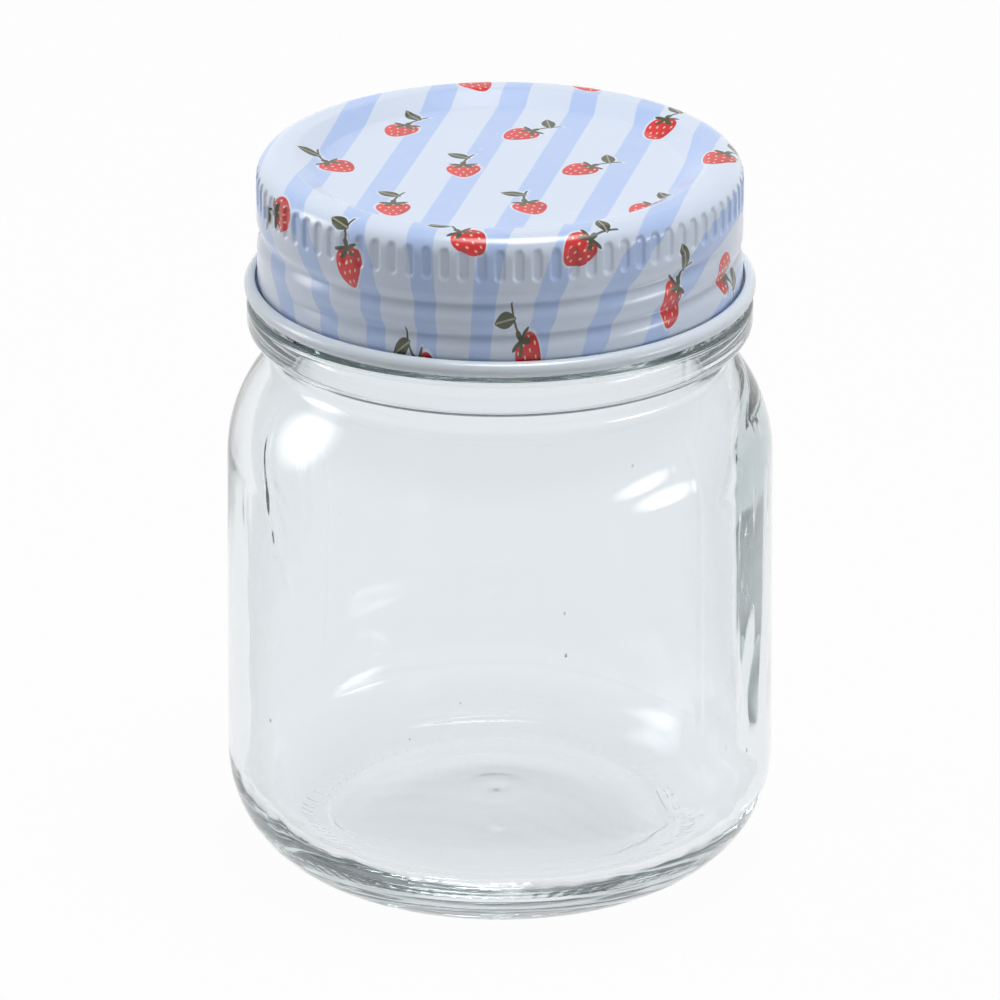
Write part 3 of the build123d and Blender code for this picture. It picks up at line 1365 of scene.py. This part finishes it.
@dataclass
class ScrewLid:
    """The pressed and printed screw lid, in millimetres and degrees."""

    hem_outer: float
    hem_low: float
    crest: float
    screw: Screw
    finish: StrawberryPrint = field(default_factory=StrawberryPrint)
    sheet: float = 0.4
    shoulder_round: float = 2.75
    crest_width: float = 2.2
    step_width: float = 3.2
    step_round: float = 1.4
    recess: float = 1.7
    hem_round: float = 1.1
    hem_turn: float = 290.0
    knurl_count: int = 84
    knurl_height: float = 4.3
    knurl_drop: float = 1.6
    knurl_depth: float = 0.34
    knurl_width: float = 1.30
    knurl_slope: Pair = (0.70, 1.25)
    knurl_places: tuple[float, ...] = (0.12, 0.17, 0.21, 0.25, 0.29, 0.33, 0.40)
    thread_rise: float = 3.5
    thread_depth: float = 0.8

    def section(self) -> Outline:
        """Half section from under the middle, down the inside, round the hem, up and over the top.

        Returns:
            The section.
        """
        inner = self.hem_outer - 2 * self.hem_round
        outer = inner + self.sheet
        hem = (inner + self.hem_round, self.hem_low + self.hem_round)
        bore = self.hem_round - self.sheet
        curl = 180.0 + self.hem_turn
        panel = self.crest - self.recess
        crest_edge = (outer - self.shoulder_round - self.crest_width, self.crest)
        panel_edge = (crest_edge[0] - self.step_width, panel)
        shift = self.sheet * tan(atan2(self.recess, self.step_width) / 2)
        under = self.crest - self.sheet
        step_low = (panel_edge[0] + shift, panel - self.sheet)
        step_top = (crest_edge[0] + shift, under)

        line = Outline(0.0, panel - self.sheet, spacing=3.0)
        line.bend(step_low, step_top, self.step_round + self.sheet, steps=4)
        line.bend(step_top, (inner, under), self.step_round, steps=4)
        line.bend((inner, under), (inner, hem[1]), self.shoulder_round - self.sheet)
        line.mark("inner_skirt").to(inner, hem[1], spacing=0.45).mark("hem")
        line.arc(hem, (self.hem_round, self.hem_round), 180.0, curl, steps=26)
        line.arc(hem, (bore, bore), curl, 180.0, steps=18).mark("outer_skirt")
        line.to(outer, self.crest - self.shoulder_round, spacing=0.21)
        line.bend((outer, self.crest), crest_edge, self.shoulder_round, steps=14).mark("top")
        line.bend(crest_edge, panel_edge, self.step_round + self.sheet)
        line.bend(panel_edge, (0.0, panel), self.step_round)
        return line.to(0.0, panel, spacing=4.0)

    def _skirt_relief(self, angles: np.ndarray, height: np.ndarray) -> np.ndarray:
        """Inward offset of the skirt: the rolled thread and the pressed knurl.

        Args:
            angles: angles round the axis, in radians.
            height: heights, as rows against the angles.

        Returns:
            The offset.
        """
        half = self.knurl_width / 2
        spacing = 2 * pi * (self.hem_outer - 2 * self.hem_round + self.sheet) / self.knurl_count
        across = spacing * ((angles * self.knurl_count / (2 * pi) + 0.5) % 1.0 - 0.5)
        middle = self.crest - self.knurl_drop - self.knurl_height / 2
        beyond = np.maximum(np.abs(height - middle) - (self.knurl_height / 2 - half), 0)
        slope = [half * share for share in self.knurl_slope]
        flute = 1 - smooth(*slope, np.hypot(across, beyond))
        return self.thread_depth * self.screw.rolled(angles, height) + self.knurl_depth * flute

    @staticmethod
    def _sheet_places(
        line: Outline, radii: np.ndarray, heights: np.ndarray, angles: np.ndarray
    ) -> np.ndarray:
        """Where each point of the lid was on the flat printed sheet, which kept its area.

        Args:
            line: the section.
            radii: its radii.
            heights: its heights.
            angles: angles round the axis, in radians.

        Returns:
            Two places on the sheet and one for printed or nought for bare, for each point.
        """
        run = np.hypot(np.diff(radii), np.diff(heights))
        middle = (radii[:-1] + radii[1:]) / 2
        area = np.concatenate([np.cumsum((middle * run)[::-1])[::-1], [0.0]])
        reach = np.sqrt(2 * area)
        printed = (np.arange(len(radii)) > line.marks["outer_skirt"]).astype(float)
        reach = np.where(printed > 0, reach, reach[line.marks["outer_skirt"]])
        return spun(reach[:, None], np.repeat(printed[:, None], len(angles), 1), angles)

    def build(self) -> bpy.types.Object:
        """Builds the lid with thread, knurl and curled hem, and lays the printed sheet on it.

        Returns:
            The piece.
        """
        line = self.section()
        radii, heights = line.arrays()
        side = np.array(self.knurl_places)
        places = np.concatenate([-side[::-1], [0.0], side, [0.5]])
        angles = (np.arange(self.knurl_count)[:, None] + places) * 2 * pi / self.knurl_count
        angles = angles.ravel()
        height = np.repeat(heights[:, None], len(angles), 1)
        rows = np.arange(len(radii))[:, None]
        inner = (rows >= line.marks["inner_skirt"]) & (rows < line.marks["hem"])
        outer = (rows >= line.marks["outer_skirt"]) & (rows < line.marks["top"])
        radius = radii[:, None] - (inner | outer) * self._skirt_relief(angles, height)
        piece = turned_piece("pressed_lid", radius, height, angles)
        flat = self._sheet_places(line, radii, heights, angles)
        flat = np.concatenate([flat[:1, 0], flat[-1:, 0], flat[1:-1].reshape(-1, 3)])
        sheet = piece.data.attributes.new("sheet", "FLOAT_VECTOR", "POINT")
        sheet.data.foreach_set("vector", flat.astype(np.float32).ravel())
        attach(piece, Body.LID.value)
        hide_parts(Node.LID.value)
        log.info("screw lid: %d faces", len(piece.data.polygons))
        return piece

    def dress(self, piece: bpy.types.Object) -> None:
        """Gives the lid its finish."""
        piece.data.materials.append(self.finish.material())


@dataclass
class SealRing:
    """The sealing ring flowed into the lid, in millimetres."""

    outer: float
    low: float
    top: float
    finish: SealCompound = field(default_factory=SealCompound)
    width: float = 2.55
    outer_edge: float = 0.25
    flat_width: float = 1.3
    soft_edge: float = 0.12
    groove_depth: float = 0.06
    groove_slope: Pair = (0.3, 0.9)
    around: int = 192

    def build(self) -> bpy.types.Object:
        """Builds the ring, soft at its edges and grooved where the rim of the glass pressed.

        Returns:
            The piece.
        """
        inner = self.outer - self.width
        middle = (inner + self.outer) / 2
        corners = [
            (inner, self.low),
            (self.outer, self.low),
            (self.outer, self.low + self.outer_edge),
            (inner + self.flat_width, self.top),
            (inner, self.top),
        ]
        line = Outline(middle, self.low, spacing=0.12)
        for number, corner in enumerate(corners[1:] + corners[:1]):
            onward = corners[(number + 2) % len(corners)]
            line.bend(corner, onward, self.soft_edge, steps=3)
        radii, heights = line.arrays()
        groove = 1 - smooth(*self.groove_slope, np.abs(radii - middle))
        pressed = self.groove_depth * groove * (heights < self.low + TOUCHING)
        angles = np.linspace(0, 2 * pi, self.around, endpoint=False)
        height = np.repeat((heights + pressed)[:, None], self.around, 1)
        ring = spun(radii[:, None], height, angles).reshape(-1, 3)
        index = np.arange(len(radii) * self.around).reshape(len(radii), self.around)
        across, after = np.roll(index, -1, 0), np.roll(index, -1, 1)
        quads = np.stack([index, after, np.roll(after, -1, 0), across], -1).reshape(-1, 4)
        piece = smooth_piece("seal_ring", ring, quads.tolist())
        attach(piece, Body.SEAL.value)
        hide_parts(Node.SEAL.value)
        log.info("seal ring: %d faces", len(piece.data.polygons))
        return piece

    def dress(self, piece: bpy.types.Object) -> None:
        """Gives the ring its finish."""
        piece.data.materials.append(self.finish.material())


@dataclass(frozen=True)
class Softbox:
    """A flat studio lamp that fades towards its edge, in metres and watts."""

    name: str
    place: Triple
    aim: Triple
    width: float
    height: float
    watts: float
    glow: float = 2.2
    glow_reach: float = 0.32
    glow_soft: float = 0.36

    def build(self) -> None:
        """Hangs the lamp."""
        lamp = bpy.data.lights.new(self.name, "AREA")
        lamp.shape = "RECTANGLE"
        lamp.size, lamp.size_y = self.width, self.height
        lamp.energy = self.watts
        lamp.use_nodes = True
        g = Graph(lamp.node_tree)
        u, v, _ = g.split(g.node("ShaderNodeNewGeometry", output="Parametric"))
        reach = ((u - 0.5).apply("POWER", 2.0) + (v - 0.5).apply("POWER", 2.0)).apply("SQRT")
        colour = reach.below(self.glow_reach, self.glow_soft).mix(BLACK, WHITE)
        glow = g.node("ShaderNodeEmission", inputs={"Color": colour, "Strength": self.glow})
        g.node("ShaderNodeOutputLight", inputs={0: glow})
        holder = add_to_scene(self.name, lamp)
        holder.location = self.place
        holder.rotation_euler = facing(self.place, self.aim)


@dataclass
class Studio:
    """White floor, soft light and the camera, in metres."""

    eye: Triple = (0.0, -0.97007, 0.44682)
    aim: Triple = (0.0, 0.0, 0.05124)
    lens: float = 272.8
    sensor_width: float = 36.0
    floor: WhiteFloor = field(default_factory=WhiteFloor)
    floor_height: float = -0.0003
    floor_size: float = 6.0
    floor_rise: float = 0.4
    floor_flat: float = 0.75
    floor_rows: int = 25
    horizon: float = 1.0
    horizon_top: float = 0.12
    overhead: float = 0.42
    overhead_low: float = 0.60
    fill: float = 0.10
    glass_bounces: int = 40
    lamps: tuple[Softbox, ...] = (
        Softbox("overhead_box", (0.12, -0.06, 1.30), (0.0, 0.0, 0.05), 0.9, 0.9, 16.8),
        Softbox("left_box", (-0.90, 0.17, 0.40), (0.0, 0.0, 0.06), 0.50, 0.74, 3.3),
        Softbox("right_strip", (0.78, -0.28, 0.075), (0.0, 0.0, 0.05), 0.50, 0.20, 1.4),
    )

    def build_floor(self) -> None:
        """Lays the floor, with a slight roll-up far behind the pot."""
        half = self.floor_size / 2
        steps = np.linspace(-half, half, self.floor_rows)
        rolled = (steps - self.floor_flat * half) / ((1 - self.floor_flat) * half)
        rise = self.floor_height + self.floor_rise * np.clip(rolled, 0, 1) ** 2
        places = [(x, y, z) for y, z in zip(steps, rise) for x in (-half, half)]
        faces = [(2 * i, 2 * i + 1, 2 * i + 3, 2 * i + 2) for i in range(len(steps) - 1)]
        mesh = bpy.data.meshes.new("studio_floor")
        mesh.from_pydata(places, [], faces)
        mesh.materials.append(self.floor.material())
        floor = add_to_scene("studio_floor", mesh)

    def build_light(self) -> None:
        """Sets a world that is white at the horizon and dimmer overhead, and hangs the lamps."""
        world = bpy.data.worlds.new("studio_light")
        world.use_nodes = True
        bpy.context.scene.world = world
        g = Graph(world.node_tree)
        up = g.split(g.node("ShaderNodeTexCoord", output="Generated"))[2]
        horizon = (self.horizon_top, (self.horizon,) * 3)
        overhead = (self.overhead_low, (self.overhead,) * 3)
        ramp = g.node("ShaderNodeValToRGB", {"stops": [horizon, overhead]}, {0: up})
        straight = g.node("ShaderNodeLightPath", output="Is Camera Ray")
        shown = straight.mix(ramp, WHITE)
        colour = g.lit_by_view().mix((self.fill,) * 3, shown)
        sky = g.node("ShaderNodeBackground", inputs={"Color": colour, "Strength": 1.0})
        g.node("ShaderNodeOutputWorld", inputs={"Surface": sky})
        for lamp in self.lamps:
            lamp.build()

    def build_camera(self) -> None:
        """Places the camera at the photograph's viewing angle."""
        lens = bpy.data.cameras.new("view")
        lens.lens = self.lens
        lens.sensor_width = self.sensor_width
        camera = add_to_scene("view", lens)
        camera.location = self.eye
        camera.rotation_euler = facing(self.eye, self.aim)
        bpy.context.scene.camera = camera

    def build(self) -> None:
        """Builds the whole set."""
        scene = bpy.context.scene
        scene.view_settings.view_transform = "Standard"
        scene.cycles.max_bounces = self.glass_bounces
        scene.cycles.glossy_bounces = self.glass_bounces
        scene.cycles.transmission_bounces = self.glass_bounces
        self.build_floor()
        self.build_light()
        self.build_camera()
        log.info("studio: %d lamps", len(self.lamps))


def main() -> None:
    """Builds the pot piece by piece and sets it in the studio."""
    logging.basicConfig(level=logging.INFO, format="%(name)s %(message)s")
    jar_low, jar_high = (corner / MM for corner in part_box(Node.JAR.value))
    lid_low, lid_high = (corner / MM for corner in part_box(Node.LID.value))
    ring_low, ring_high = (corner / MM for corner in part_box(Node.SEAL.value))
    screw = Screw(lid_low.z + ScrewLid.hem_round + ScrewLid.thread_rise)
    jar = GlassJar(jar_high.x, jar_high.z, screw)
    lid = ScrewLid(lid_high.x, lid_low.z, lid_high.z, screw)
    ring = SealRing(ring_high.x, ring_low.z, ring_high.z)
    for part in (jar, lid, ring):
        part.dress(part.build())
    Studio().build()


if __name__ == "__main__":
    main()
